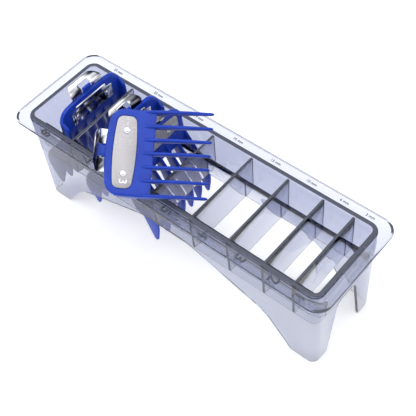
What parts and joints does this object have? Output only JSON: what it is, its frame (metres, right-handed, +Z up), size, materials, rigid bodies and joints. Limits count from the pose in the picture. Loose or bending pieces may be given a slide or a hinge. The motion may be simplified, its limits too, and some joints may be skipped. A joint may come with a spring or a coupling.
{
  "type": "clipper guard set in organizer tray",
  "caption": "Smoke-grey clear organizer tray with compartments, holding blue clipper guards with metal name plates and chrome clips.",
  "frame": {"origin": "on the table under the middle of the whole set's own box, guard_3's overhang included, which is 5.4 mm to the near side of the tray's own middle", "axes": "+X along the tray from the widest compartment to the narrowest, +Y across the tray away from the picture's near side, +Z up"},
  "size_m": [0.2362, 0.084, 0.1033],
  "materials": {
    "clear_tray": "clear smoke-grey tint, glossy",
    "blue_plastic": "satin moulded nylon",
    "plate_aluminium": "fine brushed",
    "rivet_steel": "polished dome",
    "clip_steel": "bright plated spring steel"
  },
  "bodies": {
    "tray": {"left_rim": "clear_tray", "right_rim": "clear_tray", "near_rim": "clear_tray", "far_rim": "clear_tray", "left_wall": "clear_tray", "right_wall": "clear_tray", "near_wall": "clear_tray", "far_wall": "clear_tray", "divider_1": "clear_tray", "divider_2": "clear_tray", "divider_3": "clear_tray", "divider_4": "clear_tray", "divider_5": "clear_tray", "divider_6": "clear_tray", "divider_7": "clear_tray", "near_support_rail": "clear_tray", "far_support_rail": "clear_tray"},
    "guard_8": {"guard_8_comb": "blue_plastic", "guard_8_name_plate": "plate_aluminium", "guard_8_rivets": "rivet_steel", "guard_8_clip_foot": "clip_steel"},
    "guard_8_clip": {"guard_8_clip_tab": "clip_steel"},
    "guard_7": {"guard_7_comb": "blue_plastic", "guard_7_name_plate": "plate_aluminium", "guard_7_rivets": "rivet_steel", "guard_7_clip_foot": "clip_steel"},
    "guard_7_clip": {"guard_7_clip_tab": "clip_steel"},
    "guard_6": {"guard_6_comb": "blue_plastic", "guard_6_name_plate": "plate_aluminium", "guard_6_rivets": "rivet_steel", "guard_6_clip_foot": "clip_steel"},
    "guard_6_clip": {"guard_6_clip_tab": "clip_steel"},
    "guard_3": {"guard_3_comb": "blue_plastic", "guard_3_name_plate": "plate_aluminium", "guard_3_rivets": "rivet_steel", "guard_3_clip_foot": "clip_steel"},
    "guard_3_clip": {"guard_3_clip_tab": "clip_steel"}
  },
  "joints": [
    {"name": "guard_8_lift", "type": "slide", "parent": "tray", "child": "guard_8", "axis": [0, 0, 1], "range_m": [0, 0.075]},
    {"name": "guard_7_lift", "type": "slide", "parent": "tray", "child": "guard_7", "axis": [0, 0, 1], "range_m": [0, 0.075]},
    {"name": "guard_6_lift", "type": "slide", "parent": "tray", "child": "guard_6", "axis": [0, 0, 1], "range_m": [0, 0.075]},
    {"name": "guard_3_lift", "type": "slide", "parent": "guard_6", "child": "guard_3", "axis": [0, 0, 1], "range_m": [0, 0.075]},
    {"name": "guard_8_clip_press", "type": "hinge", "parent": "guard_8", "child": "guard_8_clip", "pos_m": [-0.08315, 0.0054, 0.08761], "axis": [0, -1, 0], "range_deg": [0, 6], "stiffness_Nm_per_rad": 0.6},
    {"name": "guard_7_clip_press", "type": "hinge", "parent": "guard_7", "child": "guard_7_clip", "pos_m": [-0.0497, 0.0054, 0.08755], "axis": [0, -1, 0], "range_deg": [0, 6], "stiffness_Nm_per_rad": 0.6},
    {"name": "guard_6_clip_press", "type": "hinge", "parent": "guard_6", "child": "guard_6_clip", "pos_m": [-0.03197, 0.0054, 0.08744], "axis": [0, 1, 0], "range_deg": [0, 6], "stiffness_Nm_per_rad": 0.6},
    {"name": "guard_3_clip_press", "type": "hinge", "parent": "guard_3", "child": "guard_3_clip", "pos_m": [-0.0375, -0.02691, 0.09174], "axis": [-0.4853, 0.7473, 0.454], "range_deg": [0, 6], "stiffness_Nm_per_rad": 0.6}
  ],
  "couplings": [
    {"joint": "guard_3_lift", "follows": "guard_7_lift", "ratio": 1}
  ]
}
